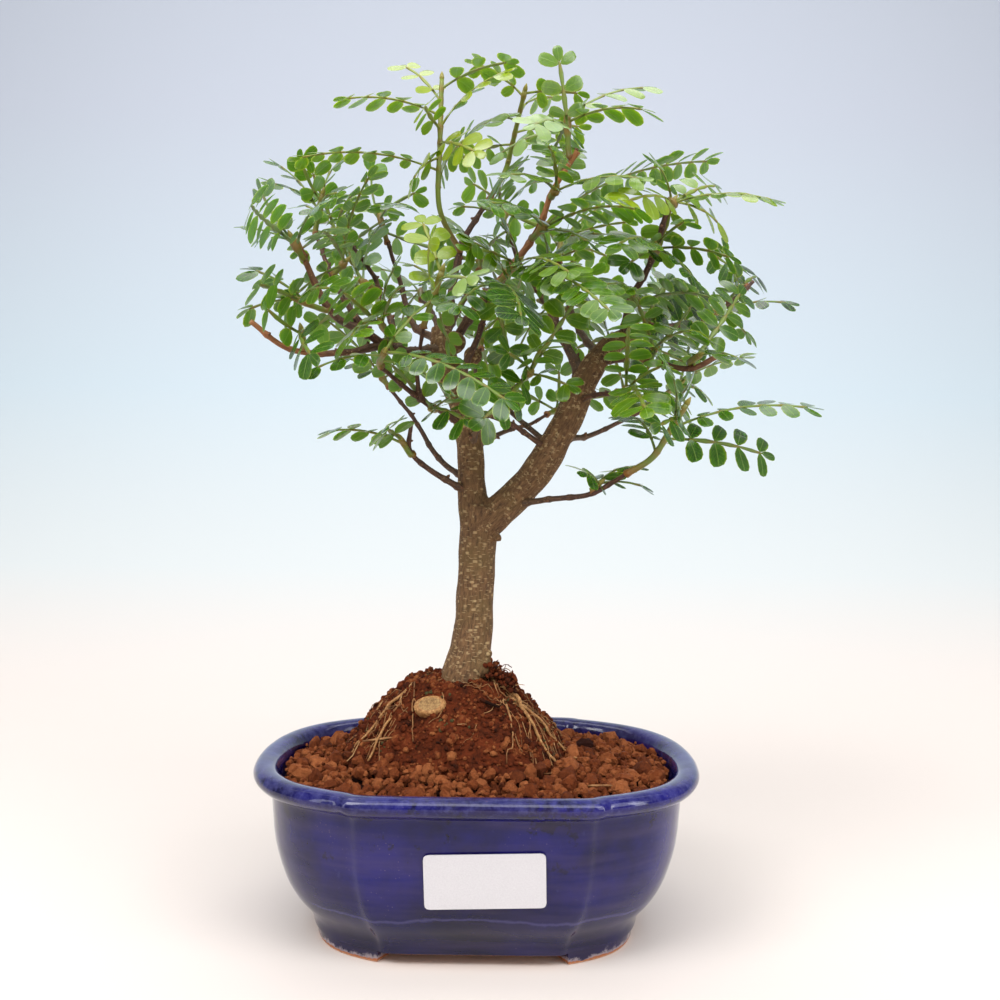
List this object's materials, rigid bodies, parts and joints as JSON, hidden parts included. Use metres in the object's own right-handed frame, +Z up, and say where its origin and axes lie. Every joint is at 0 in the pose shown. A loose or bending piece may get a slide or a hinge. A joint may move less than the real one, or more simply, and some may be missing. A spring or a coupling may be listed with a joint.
{
  "type": "potted bonsai tree",
  "caption": "Small forked bonsai tree with feathery compound leaves on a mound of roots and soil, in an oval-cornered blue glazed pot with a rolled lip and bracket feet.",
  "frame": {"origin": "under the middle of the whole tree's footprint, on the plane of the pot's feet", "axes": "+Z up, X along the pot's long side, and the label on the -Y side, which is the front"},
  "size_m": [0.2334, 0.1874, 0.3628],
  "materials": {
    "glaze": "gloss",
    "net_plastic": "matte",
    "clay_grains": "matte",
    "ball_soil": "matte",
    "bark": "matte",
    "paper": "matte",
    "leaf": "satin"
  },
  "bodies": {
    "root": {"pot": "glaze", "drain_net_left": "net_plastic", "drain_net_right": "net_plastic", "soil": "clay_grains", "root_ball": "ball_soil", "wood": "bark", "label": "paper", "spray_01": "leaf", "spray_02": "leaf", "spray_03": "leaf", "spray_04": "leaf", "spray_05": "leaf", "spray_06": "leaf", "spray_07": "leaf", "spray_08": "leaf", "spray_09": "leaf", "spray_10": "leaf", "spray_11": "leaf", "spray_12": "leaf", "spray_13": "leaf", "spray_14": "leaf", "spray_15": "leaf", "spray_16": "leaf", "spray_17": "leaf", "spray_18": "leaf", "spray_19": "leaf", "spray_20": "leaf", "spray_21": "leaf", "spray_22": "leaf", "spray_23": "leaf", "spray_24": "leaf", "spray_25": "leaf", "spray_26": "leaf", "spray_27": "leaf", "spray_28": "leaf", "spray_29": "leaf", "spray_30": "leaf", "spray_31": "leaf", "spray_32": "leaf", "spray_33": "leaf", "spray_34": "leaf", "spray_35": "leaf", "spray_36": "leaf", "spray_37": "leaf", "spray_38": "leaf", "spray_39": "leaf", "spray_40": "leaf", "spray_41": "leaf", "spray_42": "leaf", "spray_43": "leaf", "spray_44": "leaf"}
  },
  "joints": []
}
